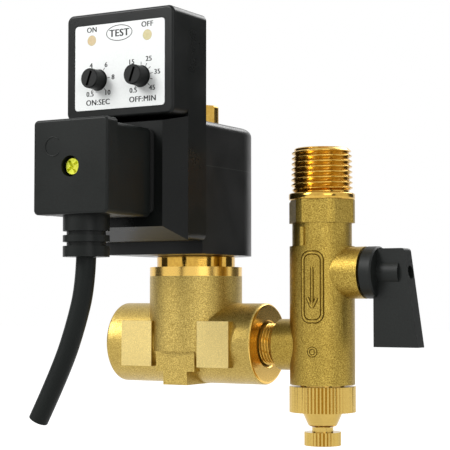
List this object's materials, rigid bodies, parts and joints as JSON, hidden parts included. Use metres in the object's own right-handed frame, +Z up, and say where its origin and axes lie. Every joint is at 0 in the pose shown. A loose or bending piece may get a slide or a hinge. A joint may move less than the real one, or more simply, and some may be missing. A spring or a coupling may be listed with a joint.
{
  "type": "automatic drain valve",
  "caption": "Timed electric drain valve for compressed air: ball valve with strainer, brass solenoid valve, timer head with two dials, and a plug with a short flex.",
  "frame": {"origin": "centre of the inlet thread's end face", "axes": "+Z up along the inlet pipe, +X along the solenoid valve towards the ball handle, -Y is the side that the timer's dials face"},
  "size_m": [0.1148, 0.0957, 0.1441],
  "materials": {
    "cast_brass": "sand-blasted casting",
    "machined_brass": "bright turned",
    "plated_brass": "polished plating",
    "zinc_steel": "zinc plated",
    "zinc_brass": "yellow passivated",
    "steel": "satin",
    "copper": "enamelled wire",
    "black_plastic": "fine texture",
    "timer_plastic": "satin moulding",
    "coil_plastic": "satin moulding",
    "cord_jacket": "satin extrusion",
    "black_rubber": "matte",
    "white_polymer": "matte",
    "board": "solder mask",
    "label_white": "printed film",
    "lamp_lens": "translucent"
  },
  "bodies": {
    "valve": {"inlet_adapter": "machined_brass", "strainer_body": "cast_brass", "ball_seats": "white_polymer", "valve_body": "cast_brass", "armature_tube": "machined_brass", "tube_seal": "black_rubber", "plunger_spring": "steel", "coil_washer": "machined_brass", "coil_nut": "machined_brass"},
    "head": {"coil_housing": "coil_plastic", "coil_blades": "steel", "coil_yoke": "steel", "coil_bobbin": "white_polymer", "coil_winding": "copper", "timer_case": "timer_plastic", "timer_cover": "timer_plastic", "circuit_board": "board", "face_label": "label_white", "trimmers": "white_polymer", "test_switch": "black_plastic", "plug_blades": "steel", "plug_gasket": "black_rubber", "plug_housing": "black_plastic", "contact_block": "white_polymer", "plug_screw": "zinc_brass", "strain_relief": "black_plastic", "cord": "cord_jacket", "on_lamp": "lamp_lens", "off_lamp": "lamp_lens"},
    "lever": {"ball": "plated_brass", "valve_stem": "machined_brass", "stem_seal": "black_rubber", "handle": "black_plastic", "handle_screw": "zinc_steel"},
    "armature": {"plunger": "steel", "plunger_pad": "black_rubber"},
    "on_dial": {"on_time_dial": "black_plastic"},
    "off_dial": {"off_time_dial": "black_plastic"},
    "button": {"test_button": "label_white"},
    "cap_lift": {"cap_seal": "black_rubber", "strainer_screen": "steel"},
    "cap": {"strainer_cap": "machined_brass"},
    "drain_lift": {"drain_seal": "black_rubber"},
    "drain": {"drain_screw": "machined_brass"}
  },
  "joints": [
    {"name": "head_swivel", "type": "hinge", "parent": "valve", "child": "head", "pos_m": [-0.0499, 0, -0.02], "axis": [0, 0, 1], "range_deg": [-180, 30]},
    {"name": "handle_turn", "type": "hinge", "parent": "valve", "child": "lever", "pos_m": [0.02, 0, -0.0422], "axis": [-1, 0, 0], "range_deg": [0, 90]},
    {"name": "plunger_lift", "type": "slide", "parent": "valve", "child": "armature", "axis": [0, 0, 1], "range_m": [0, 0.002], "stiffness_N_per_m": 1200, "springref_m": -0.002, "deforming": ["plunger_spring"]},
    {"name": "on_time_turn", "type": "hinge", "parent": "head", "child": "on_dial", "pos_m": [-0.0583, -0.049, 0.0215], "axis": [0, 1, 0], "range_deg": [0, 270]},
    {"name": "off_time_turn", "type": "hinge", "parent": "head", "child": "off_dial", "pos_m": [-0.0414, -0.049, 0.0215], "axis": [0, 1, 0], "range_deg": [0, 270]},
    {"name": "test_press", "type": "slide", "parent": "head", "child": "button", "axis": [0, 1, 0], "range_m": [0, 0.0008], "stiffness_N_per_m": 800, "springref_m": -0.0012},
    {"name": "cap_travel", "type": "slide", "parent": "valve", "child": "cap_lift", "axis": [0, 0, 1], "range_m": [-0.006, 0]},
    {"name": "cap_turn", "type": "hinge", "parent": "cap_lift", "child": "cap", "pos_m": [0, 0, -0.085], "axis": [0, 0, 1], "range_deg": [-1441, 0]},
    {"name": "drain_travel", "type": "slide", "parent": "cap", "child": "drain_lift", "axis": [0, 0, 1], "range_m": [-0.003, 0]},
    {"name": "drain_turn", "type": "hinge", "parent": "drain_lift", "child": "drain", "pos_m": [0, 0, -0.097], "axis": [0, 0, 1], "range_deg": [-1081, 0]}
  ],
  "couplings": [
    {"joint": "cap_turn", "follows": "cap_travel", "rad_per_m": 4188.8},
    {"joint": "drain_turn", "follows": "drain_travel", "rad_per_m": 6283.2}
  ]
}
